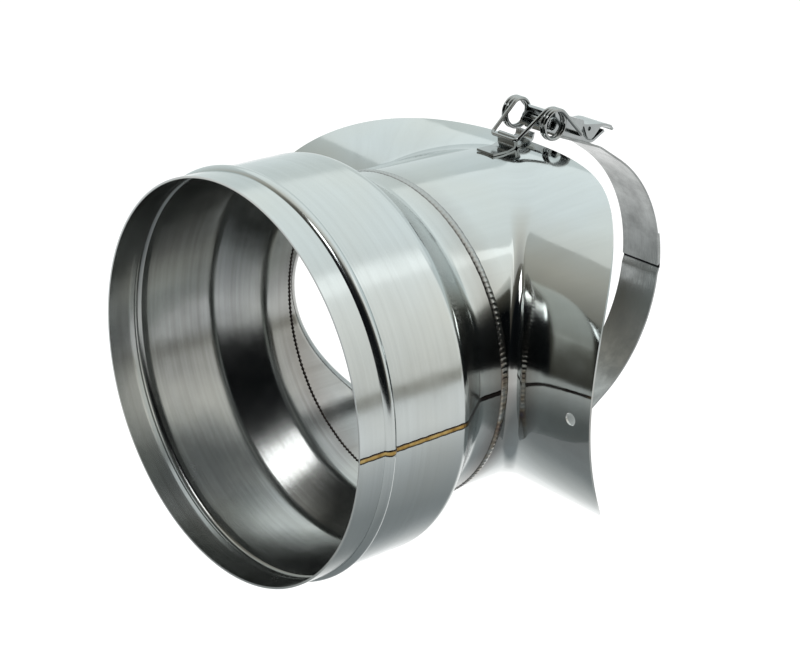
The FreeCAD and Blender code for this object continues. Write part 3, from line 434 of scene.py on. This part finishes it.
def polished_stainless(name, sizes, colours, dull, cells):
    """Stainless sheet, rolled and mirror-polished: the eye gets clear reflections that waver a
    little where the sheet isn't quite true, fine polishing lines, and a straw to brown stain in
    the band that the welding heat reached. cells says how many cells of the polishing noise lie
    in a metre, round the sheet and along it."""
    base = tuple(colours.mirror)
    material, tree, shader = new_metal(name, base, 0.07)
    place = add(tree, "ShaderNodeTexCoord")
    spot = place.outputs["Object"]
    parts = add(tree, "ShaderNodeSeparateXYZ", {0: spot})
    within = add(tree, "ShaderNodeAttribute", attribute_name="inside").outputs["Fac"]
    # The polish is uneven in clouds of 14 mm, and the inside wasn't polished, so it is duller
    haze = add(tree, "ShaderNodeTexNoise", {"Vector": spot, "Scale": 1 / (14 * MM), "Detail": 5.0,
                                            "Roughness": 0.6})
    rough = add(tree, "ShaderNodeMapRange", {"Value": haze.outputs[0], "From Min": 0.35,
                                             "From Max": 0.75, "To Min": dull,
                                             "To Max": dull + 0.09})
    rough = add(tree, "ShaderNodeMath", {0: within, 1: 0.06, 2: rough.outputs[0]},
                operation="MULTIPLY_ADD")
    tree.links.new(rough.outputs[0], shader.inputs["Roughness"])
    # Heat from the weld round the neck: an uneven band about 10 mm to each side of it, stronger
    # on the seam's side and below the crown
    offset = add(tree, "ShaderNodeMath", {0: parts.outputs[1], 1: sizes.weld * MM},
                 operation="ADD")
    gap = add(tree, "ShaderNodeMath", {0: offset.outputs[0]}, operation="ABSOLUTE")
    uneven = add(tree, "ShaderNodeTexNoise", {"Vector": spot, "Scale": 1 / (6 * MM),
                                              "Detail": 3.0})
    drift = add(tree, "ShaderNodeMath", {0: uneven.outputs[0], 1: 0.5}, operation="SUBTRACT")
    gap = add(tree, "ShaderNodeMath", {0: drift.outputs[0], 1: 3 * MM, 2: gap.outputs[0]},
              operation="MULTIPLY_ADD")
    band = add(tree, "ShaderNodeMapRange", {"Value": gap.outputs[0], "From Min": 1.2 * MM,
                                            "From Max": 10.5 * MM, "To Min": 1.0, "To Max": 0.0})
    side = add(tree, "ShaderNodeMapRange", {"Value": parts.outputs[0], "From Min": -10 * MM,
                                            "From Max": 64 * MM, "To Min": 0.45, "To Max": 0.95})
    low = add(tree, "ShaderNodeMapRange", {"Value": parts.outputs[2], "From Min": 45 * MM,
                                           "From Max": 0.0, "To Min": 0.55, "To Max": 1.0})
    share = add(tree, "ShaderNodeMath", {0: side.outputs[0], 1: low.outputs[0]},
                operation="MULTIPLY")
    heat = add(tree, "ShaderNodeMath", {0: band.outputs[0], 1: share.outputs[0]},
               operation="MULTIPLY")
    heat = add(tree, "ShaderNodeMath", {0: heat.outputs[0], 1: 0.62}, operation="MULTIPLY",
               use_clamp=True)
    # Handling marks that follow the polishing lines, stronger inside
    flat = add(tree, "ShaderNodeMapping", {"Vector": place.outputs["UV"], "Scale": (*cells, 1)})
    mottle = add(tree, "ShaderNodeTexNoise", {"Vector": flat.outputs[0], "Scale": 0.22,
                                              "Detail": 6.0, "Roughness": 0.7})
    patchy = add(tree, "ShaderNodeMapRange", {"Value": mottle.outputs[0], "From Min": 0.42,
                                              "From Max": 0.70, "To Min": 0.0, "To Max": 0.55})
    inner = add(tree, "ShaderNodeMath", {0: within, 1: 0.75, 2: 0.25}, operation="MULTIPLY_ADD")
    marks = add(tree, "ShaderNodeMath", {0: patchy.outputs[0], 1: inner.outputs[0]},
                operation="MULTIPLY")
    # A faint yellowing in clouds of 45 mm lies over all of it
    cloud = add(tree, "ShaderNodeTexNoise", {"Vector": spot, "Scale": 1 / (45 * MM),
                                             "Detail": 3.0})
    veil = add(tree, "ShaderNodeMapRange", {"Value": cloud.outputs[0], "From Min": 0.40,
                                            "From Max": 0.65, "To Min": 0.0, "To Max": 0.8})
    shown = add(tree, "ShaderNodeMix", {"Factor": within, "A": (*base, 1),
                                        "B": (*colours.bore, 1)}, data_type="RGBA")
    for amount, paint in ((marks, colours.marks), (heat, colours.brown)):
        shown = add(tree, "ShaderNodeMix", {"Factor": amount.outputs[0],
                                            "A": shown.outputs["Result"],
                                            "B": (*paint, 1)}, data_type="RGBA")
    warm = tuple(c * k for c, k in zip(base, (0.97, 0.93, 0.87)))
    yellowed = add(tree, "ShaderNodeMix", {"Factor": 0.65, "A": shown.outputs["Result"],
                                           "B": (*warm, 1)}, data_type="RGBA")
    shown = add(tree, "ShaderNodeMix", {"Factor": veil.outputs[0], "A": shown.outputs["Result"],
                                        "B": yellowed.outputs["Result"]}, data_type="RGBA")
    tree.links.new(shown.outputs["Result"], shader.inputs["Base Color"])
    # Swells of 30 mm where the sheet isn't true, and the polishing lines on them. The real lines
    # are too fine to show, so they are drawn coarser
    swell = add(tree, "ShaderNodeTexNoise", {"Vector": spot, "Scale": 1 / (30 * MM),
                                             "Detail": 1.5, "Roughness": 0.45})
    lines = add(tree, "ShaderNodeTexNoise", {"Vector": flat.outputs[0], "Scale": 1.0,
                                             "Detail": 4.0, "Roughness": 0.65})
    bump = add(tree, "ShaderNodeBump", {"Height": swell.outputs[0], "Strength": 1.0,
                                        "Distance": 0.22 * MM})
    bump = add(tree, "ShaderNodeBump", {"Height": lines.outputs[0], "Strength": 1.0,
                                        "Distance": 0.006 * MM, "Normal": bump.outputs[0]})
    tree.links.new(bump.outputs[0], shader.inputs["Normal"])
    return material


def rippled_weld(sizes, colours):
    """Stainless weld metal laid by a torch: bright ripples with dark oxide along both toes, and
    brown and violet heat tint in patches on the seam's side, below the crown."""
    material, tree, shader = new_metal("tig_weld_metal", colours.bead, 0.24)
    spot = add(tree, "ShaderNodeTexCoord").outputs["Object"]
    parts = add(tree, "ShaderNodeSeparateXYZ", {0: spot})
    patch = add(tree, "ShaderNodeTexNoise", {"Vector": spot, "Scale": 1 / (8 * MM),
                                             "Detail": 4.0})
    warm = add(tree, "ShaderNodeValToRGB", {"Fac": patch.outputs[0]},
               ((0.40, colours.bead), (0.52, colours.bead_warm), (0.62, colours.brown),
                (0.74, colours.violet)))
    side = add(tree, "ShaderNodeMapRange", {"Value": parts.outputs[0], "From Min": 30 * MM,
                                            "From Max": 62 * MM, "To Min": 0.05, "To Max": 0.9})
    low = add(tree, "ShaderNodeMapRange", {"Value": parts.outputs[2], "From Min": 30 * MM,
                                           "From Max": 0.0, "To Min": 0.05, "To Max": 1.0})
    share = add(tree, "ShaderNodeMath", {0: side.outputs[0], 1: low.outputs[0]},
                operation="MULTIPLY")
    offset = add(tree, "ShaderNodeMath", {0: parts.outputs[1], 1: sizes.weld * MM},
                 operation="ADD")
    across = add(tree, "ShaderNodeMath", {0: offset.outputs[0]}, operation="ABSOLUTE")
    toe = add(tree, "ShaderNodeMapRange", {"Value": across.outputs[0], "From Min": 1.0 * MM,
                                           "From Max": 1.7 * MM, "To Min": 0.0, "To Max": 0.9})
    shown = add(tree, "ShaderNodeMix", {"Factor": share.outputs[0], "A": (*colours.bead, 1),
                                        "B": warm.outputs["Color"]}, data_type="RGBA")
    shown = add(tree, "ShaderNodeMix", {"Factor": toe.outputs[0], "A": shown.outputs["Result"],
                                        "B": (*colours.oxide, 1)}, data_type="RGBA")
    tree.links.new(shown.outputs["Result"], shader.inputs["Base Color"])
    grain = add(tree, "ShaderNodeTexNoise", {"Vector": spot, "Scale": 1 / (0.7 * MM),
                                             "Detail": 3.0})
    bump = add(tree, "ShaderNodeBump", {"Height": grain.outputs[0], "Distance": 0.05 * MM})
    tree.links.new(bump.outputs[0], shader.inputs["Normal"])
    return material


def straw_seam(colours):
    """A machine-welded seam in thin stainless sheet: a straw-coloured middle with thin dark
    oxide lines at both sides, burnt dark over the shoulder and the neck."""
    material, tree, shader = new_metal("straw_tinted_seam", colours.straw, 0.2)
    place = add(tree, "ShaderNodeTexCoord")
    across = add(tree, "ShaderNodeSeparateXYZ", {0: place.outputs["UV"]})
    parts = add(tree, "ShaderNodeSeparateXYZ", {0: place.outputs["Object"]})
    off = add(tree, "ShaderNodeMath", {0: across.outputs[0]}, operation="ABSOLUTE")
    edge = add(tree, "ShaderNodeMapRange", {"Value": off.outputs[0], "From Min": 0.35 * MM,
                                            "From Max": 0.8 * MM, "To Min": 0.0, "To Max": 1.0})
    burnt = add(tree, "ShaderNodeMapRange", {"Value": parts.outputs[1], "From Min": -103 * MM,
                                             "From Max": -96 * MM, "To Min": 0.0, "To Max": 1.0})
    patch = add(tree, "ShaderNodeTexNoise", {"Vector": place.outputs["Object"],
                                             "Scale": 1 / (4 * MM), "Detail": 3.0})
    gold = add(tree, "ShaderNodeValToRGB", {"Fac": patch.outputs[0]},
               ((0.35, colours.straw_light), (0.55, colours.straw), (0.72, colours.straw_dark)))
    shown = add(tree, "ShaderNodeMix", {"Factor": edge.outputs[0], "A": gold.outputs["Color"],
                                        "B": (*colours.oxide, 1)}, data_type="RGBA")
    shown = add(tree, "ShaderNodeMix", {"Factor": burnt.outputs[0], "A": shown.outputs["Result"],
                                        "B": (*colours.soot, 1)}, data_type="RGBA")
    tree.links.new(shown.outputs["Result"], shader.inputs["Base Color"])
    return material


def rolled_stainless(name, base, roughness, uneven, grain, mottle, painted_lap_shadow=None):
    """Stainless as it leaves the rolls or the die: softer reflections, a short directional grain
    of so many millimetres and darker clouds of 9 mm where it was handled. The last argument,
    when given, is the colour of a painted shadow along the open line between the strap's two
    lengths."""
    material, tree, shader = new_metal(name, base, roughness)
    spot = add(tree, "ShaderNodeTexCoord").outputs["Object"]
    cloud = add(tree, "ShaderNodeTexNoise", {"Vector": spot, "Scale": 1 / (9 * MM),
                                             "Detail": 5.0, "Roughness": 0.6})
    dull = add(tree, "ShaderNodeMapRange", {"Value": cloud.outputs[0], "From Min": 0.35,
                                            "From Max": 0.7,
                                            "To Min": max(0.03, roughness - uneven),
                                            "To Max": roughness + uneven})
    tree.links.new(dull.outputs[0], shader.inputs["Roughness"])
    dark = tuple(c * (1 - mottle) for c in base)
    shown = add(tree, "ShaderNodeValToRGB", {"Fac": cloud.outputs[0]},
                ((0.36, base), (0.68, dark))).outputs["Color"]
    # Painted shadow: a band 0.7 to 1.1 mm each side of the open line where the strap's upper
    # length ends over the lower one is darkened
    if painted_lap_shadow:
        parts = add(tree, "ShaderNodeSeparateXYZ", {0: spot})
        offset = add(tree, "ShaderNodeMath", {0: parts.outputs[2], 1: LAP_LINE * MM},
                     operation="ADD")
        across = add(tree, "ShaderNodeMath", {0: offset.outputs[0]}, operation="ABSOLUTE")
        line = add(tree, "ShaderNodeMapRange", {"Value": across.outputs[0], "From Min": 0.7 * MM,
                                                "From Max": 1.1 * MM, "To Min": 1.0,
                                                "To Max": 0.0})
        shown = add(tree, "ShaderNodeMix", {"Factor": line.outputs[0], "A": shown,
                                            "B": (*painted_lap_shadow, 1)}, data_type="RGBA").outputs["Result"]
    tree.links.new(shown, shader.inputs["Base Color"])
    drawn = add(tree, "ShaderNodeMapping", {"Vector": spot, "Scale": (1, 0.12, 0.12)})
    fine = add(tree, "ShaderNodeTexNoise", {"Vector": drawn.outputs[0],
                                            "Scale": 1 / (grain * MM), "Detail": 2.0})
    bump = add(tree, "ShaderNodeBump", {"Height": fine.outputs[0], "Strength": 0.6,
                                        "Distance": 0.03 * MM})
    tree.links.new(bump.outputs[0], shader.inputs["Normal"])
    return material


# Operators

class CONNECTOR_OT_socket(bpy.types.Operator):
    """Turns the socket with its bead, shoulder and neck"""
    bl_idname = "connector.socket"
    bl_label = "Socket"

    def execute(self, context):
        s, c = context.scene.connector_sizes, context.scene.connector_colours
        outer, inner = socket_line(s, 0.0), socket_line(s, -s.wall)[::-1]
        line = np.concatenate([outer, inner])
        mark = np.concatenate([np.zeros(len(outer)), np.ones(len(inner))])
        girth = np.linspace(0, 2 * math.pi * s.socket, s.around + 1)
        uv = spread(girth, walked(np.concatenate([line, line[:1]])))
        mesh = sheet_mesh("socket_shell", turned(line, s.around), uv, inner=mark)
        close_and_turn(mesh, 40)
        add_piece("socket_shell", mesh, "fitting",
                  polished_stainless("polished_socket_sheet", s, c, 0.13, (14, 1600)),
                  "polished_sheet", "socket_body")
        return {"FINISHED"}


class CONNECTOR_OT_saddle(bpy.types.Operator):
    """Wraps the saddle on the pipe and pulls its collar"""
    bl_idname = "connector.saddle"
    bl_label = "Saddle"

    def execute(self, context):
        s, c = context.scene.connector_sizes, context.scene.connector_colours
        grid = saddle_grid(s, s.around)
        girth = np.linspace(0, 2 * math.pi * s.pipe, s.around + 1)
        uv = spread(girth, walked(np.concatenate([grid[:, 0], grid[:1, 0]])))
        mesh = sheet_mesh("saddle_shell", grid, uv,
                          inner=(np.arange(len(grid)) >= len(grid) // 2) * 1.0)
        close_and_turn(mesh, 40)
        piece = add_piece("saddle_shell", mesh, "fitting",
                          polished_stainless("polished_saddle_sheet", s, c, 0.05, (300, 20)),
                          "polished_sheet", "saddle")
        self.drill(context, s, piece)
        return {"FINISHED"}

    def drill(self, context, s, piece):
        """Cuts the screw hole in the wing through the middle of the sheet's wall."""
        mesh = piece.data
        drill = bpy.data.meshes.new("drill")
        work = bmesh.new()
        bmesh.ops.create_cone(work, cap_ends=True, segments=40, depth=20 * MM,
                              radius1=s.screw_radius * MM, radius2=s.screw_radius * MM)
        turn = math.radians(s.screw_turn)
        way = Vector((0, -math.cos(turn), -math.sin(turn)))
        middle = Vector((s.screw_reach, 0, 0)) + way * (s.pipe + s.wall / 2)
        work.transform(Matrix.Translation(middle * MM)
                       @ way.to_track_quat("Z", "Y").to_matrix().to_4x4())
        work.to_mesh(drill)
        work.free()
        tool = bpy.data.objects.new("drill", drill)
        context.scene.collection.objects.link(tool)
        cut = piece.modifiers.new("screw_hole", "BOOLEAN")
        cut.operation, cut.solver, cut.object = "DIFFERENCE", "EXACT", tool
        view = context.evaluated_depsgraph_get()
        done = bpy.data.meshes.new_from_object(piece.evaluated_get(view), depsgraph=view)
        change = len(done.polygons) - len(mesh.polygons)
        if change == 0 or change < -0.1 * len(mesh.polygons):
            raise RuntimeError("the screw hole wasn't cut cleanly")
        piece.modifiers.clear()
        piece.data = done
        done.materials.clear()
        done.materials.append(mesh.materials[0])
        done.shade_smooth()
        done.set_sharp_from_angle(angle=math.radians(40))
        bpy.data.objects.remove(tool)


class CONNECTOR_OT_welds(bpy.types.Operator):
    """Lays the rippled weld round the neck and the lengthwise seam"""
    bl_idname = "connector.welds"
    bl_label = "Welds"

    def execute(self, context):
        s, c = context.scene.connector_sizes, context.scene.connector_colours
        grid, steps = bead_grid(s)
        girth = np.linspace(0, 2 * math.pi * s.neck, steps + 1)
        rows = np.arange(len(grid) + 1)
        mesh = sheet_mesh("neck_bead", grid, spread(girth, rows * s.weld_width / 14))
        close_and_turn(mesh, 60)
        add_piece("neck_bead", mesh, "fitting", rippled_weld(s, c), "weld_bead", "neck_weld")
        grid = root_grid(s)
        girth = np.linspace(0, 2 * math.pi * (s.neck - s.wall), grid.shape[1] + 1)
        mesh = sheet_mesh("neck_root", grid, spread(girth, np.arange(len(grid) + 1) * 0.2))
        close_and_turn(mesh, 60)
        oxide = rolled_stainless("oxidised_weld_root", c.oxide, 0.45, 0.1, 0.5, 0.4)
        add_piece("neck_root", mesh, "fitting", oxide, "weld_bead")
        grid, fine = seam_grid(s)
        v = np.concatenate([np.linspace(-1, 1, 9), np.linspace(1, -1, 9), [-1]])
        uv = spread(v * s.seam_width / 2, fine)
        mesh = sheet_mesh("seam_bead", grid, uv, loop_rows=False)
        close_and_turn(mesh, 50)
        add_piece("seam_bead", mesh, "fitting", straw_seam(c), "seam", "seam_weld")
        return {"FINISHED"}


class CONNECTOR_OT_strap(bpy.types.Operator):
    """Finishes both lengths of the strap"""
    bl_idname = "connector.strap"
    bl_label = "Strap"

    def execute(self, context):
        c = context.scene.connector_colours
        finish = (c.inside, 0.20, 0.07, 0.6, 0.35)
        metal = rolled_stainless("rolled_strap_stainless", *finish)
        # The lower length carries the painted shadow of the lap's open line
        lapped = rolled_stainless("lapped_strap_stainless", *finish, c.painted_lap_shadow)
        smooth_copy("strap_upper", "strap_upper_dressed", metal, "strap", "fitting")
        smooth_copy("strap_lower", "strap_lower_dressed", lapped, "strap", "fitting")
        return {"FINISHED"}


class CONNECTOR_OT_latch(bpy.types.Operator):
    """Finishes the catch, the latch base, the lever, the rivet and the sprung bail"""
    bl_idname = "connector.latch"
    bl_label = "Latch"

    def execute(self, context):
        c = context.scene.connector_colours
        pressed = rolled_stainless("pressed_latch_stainless", c.latch, 0.12, 0.05, 0.4, 0.18)
        rivet = rolled_stainless("hollow_rivet_steel", c.latch, 0.16, 0.04, 0.3, 0.12)
        wire = rolled_stainless("drawn_spring_wire", c.wire, 0.13, 0.05, 0.25, 0.2)
        smooth_copy("catch", "catch_dressed", pressed, "latch_sheet", "fitting")
        smooth_copy("latch_base", "base_dressed", pressed, "latch_sheet", "fitting")
        smooth_copy("pivot_rivet", "rivet_dressed", rivet, "latch_rivet", "fitting")
        smooth_copy("lever", "lever_dressed", pressed, "latch_sheet", "lever")
        smooth_copy("bail", "bail_dressed", wire, "spring_wire", "bail", 60)
        return {"FINISHED"}


class CONNECTOR_OT_stage(bpy.types.Operator):
    """Sets the plain pale floor, the soft studio light and the camera"""
    bl_idname = "connector.stage"
    bl_label = "Stage"

    def execute(self, context):
        scene = context.scene
        self.floor(scene)
        self.room(scene)
        self.lamps(scene)
        self.camera(scene)
        scene.view_settings.view_transform = "Standard"
        return {"FINISHED"}

    def floor(self, scene):
        """A square of pale paper that glows pale. Under and in front of the part a painted shade
        darkens its glow, and it fades out with the way back and the distance from the part's foot."""
        c = scene.connector_colours
        mesh = bpy.data.meshes.new("pale_floor")
        corners = ((-1, -1), (1, -1), (1, 1), (-1, 1))
        mesh.from_pydata([(x * FLOOR_REACH, y * FLOOR_REACH, FLOOR_Z) for x, y in corners], [],
                         [(0, 1, 2, 3)])
        floor = bpy.data.objects.new("pale_floor", mesh)
        scene.collection.objects.link(floor)
        paper = bpy.data.materials.new("pale_paper")
        paper.use_nodes = True
        tree = paper.node_tree
        tree.nodes.clear()
        spot = add(tree, "ShaderNodeTexCoord").outputs["Object"]
        # Painted shade: the floor's glow turns to the shade colour under and in front of the part
        back = add(tree, "ShaderNodeVectorMath", {0: spot, 1: (-0.755, 0.656, 0)},
                   operation="DOT_PRODUCT").outputs["Value"]
        back = add(tree, "ShaderNodeMapRange", {"Value": back, "From Min": 0.02, "From Max": 0.19,
                                                "To Min": 0.0, "To Max": 1.0})
        near = add(tree, "ShaderNodeVectorMath", {0: spot, 1: (-0.05, -0.10, FLOOR_Z)},
                   operation="DISTANCE").outputs["Value"]
        near = add(tree, "ShaderNodeMapRange", {"Value": near, "From Min": 0.25, "From Max": 0.85,
                                                "To Min": 0.0, "To Max": 0.8})
        light = add(tree, "ShaderNodeMath", {0: back.outputs[0], 1: near.outputs[0]},
                    operation="MAXIMUM")
        glow = add(tree, "ShaderNodeMix", {"Factor": light.outputs[0], "A": (*c.shade, 1),
                                           "B": (*c.floor, 1)}, data_type="RGBA")
        shader = add(tree, "ShaderNodeBsdfPrincipled", {
            "Base Color": (0.25, 0.25, 0.25, 1), "Roughness": 0.9,
            "Emission Color": glow.outputs["Result"],
            "Emission Strength": scene.connector_light.floor_glow})
        add(tree, "ShaderNodeOutputMaterial", {"Surface": shader.outputs[0]})
        mesh.materials.append(paper)

    def room(self, scene):
        """The room round the stage: pale behind the object and overhead, dark in front, with a
        soft change between them. The place on the ramp is one half plus half the direction
        dotted with the way to the front."""
        world = bpy.data.worlds.new("studio_room")
        scene.world = world
        world.use_nodes = True
        tree = world.node_tree
        tree.nodes.clear()
        way = add(tree, "ShaderNodeTexCoord").outputs["Generated"]
        front = add(tree, "ShaderNodeVectorMath", {0: way, 1: (0.62, -0.78, -0.10)},
                    operation="DOT_PRODUCT").outputs["Value"]
        part = add(tree, "ShaderNodeMath", {0: front, 1: 0.5, 2: 0.5}, operation="MULTIPLY_ADD")
        shade = add(tree, "ShaderNodeValToRGB", {"Fac": part.outputs[0]},
                    [(place, tint(shade)) for place, shade in ROOM])
        back = add(tree, "ShaderNodeBackground", {"Color": shade.outputs["Color"],
                                                  "Strength": 1.0})
        add(tree, "ShaderNodeOutputWorld", {"Surface": back.outputs[0]})

    def lamps(self, scene):
        """Soft boxes, each turned to a point 40 mm before the part's origin."""
        for name, place, size, power in SOFT_BOXES:
            lamp = bpy.data.lights.new(name, "AREA")
            lamp.shape = "RECTANGLE"
            lamp.size, lamp.size_y = size
            lamp.energy = getattr(scene.connector_light, power)
            rig = bpy.data.objects.new(name, lamp)
            scene.collection.objects.link(rig)
            way = Vector((0, -0.04, 0)) - Vector(place)
            rig.matrix_world = (Matrix.Translation(place)
                                @ way.to_track_quat("-Z", "Y").to_matrix().to_4x4())

    def camera(self, scene):
        """The camera that was fitted to the photograph, from its place and two directions."""
        camera = bpy.data.cameras.new("studio_camera")
        camera.sensor_width, camera.sensor_fit, camera.lens = 36.0, "HORIZONTAL", CAMERA_LENS
        view = bpy.data.objects.new("studio_camera", camera)
        scene.collection.objects.link(view)
        forward = Vector(CAMERA_FORWARD).normalized()
        up = Vector(CAMERA_RIGHT).normalized().cross(forward).normalized()
        right = forward.cross(up).normalized()
        turn = Matrix((right, up, -forward)).transposed().to_4x4()
        view.matrix_world = Matrix.Translation(CAMERA_PLACE) @ turn
        scene.camera = view


class CONNECTOR_PT_panel(bpy.types.Panel):
    """Lists the pieces of the connector"""
    bl_idname = "CONNECTOR_PT_panel"
    bl_label = "Flue pipe connector"
    bl_space_type = "VIEW_3D"
    bl_region_type = "UI"
    bl_category = "Connector"

    def draw(self, context):
        for operator in OPERATORS:
            self.layout.operator(operator.bl_idname)
        for group in ("connector_sizes", "connector_colours", "connector_light"):
            settings = getattr(context.scene, group)
            box = self.layout.box()
            for key in settings.bl_rna.properties.keys():
                if key not in ("rna_type", "name"):
                    box.prop(settings, key)


GROUPS = {"connector_sizes": ConnectorSizes, "connector_colours": ConnectorColours,
          "connector_light": ConnectorLight}
OPERATORS = (CONNECTOR_OT_socket, CONNECTOR_OT_saddle, CONNECTOR_OT_welds, CONNECTOR_OT_strap,
             CONNECTOR_OT_latch, CONNECTOR_OT_stage)
CLASSES = (*GROUPS.values(), *OPERATORS, CONNECTOR_PT_panel)


def register():
    for part in CLASSES:
        bpy.utils.register_class(part)
    for name, group in GROUPS.items():
        setattr(bpy.types.Scene, name, PointerProperty(type=group))


def unregister():
    for name in GROUPS:
        delattr(bpy.types.Scene, name)
    for part in reversed(CLASSES):
        bpy.utils.unregister_class(part)


def main():
    register()
    for operator in OPERATORS:
        group, name = operator.bl_idname.split(".")
        getattr(getattr(bpy.ops, group), name)()


if __name__ == "__main__":
    main()
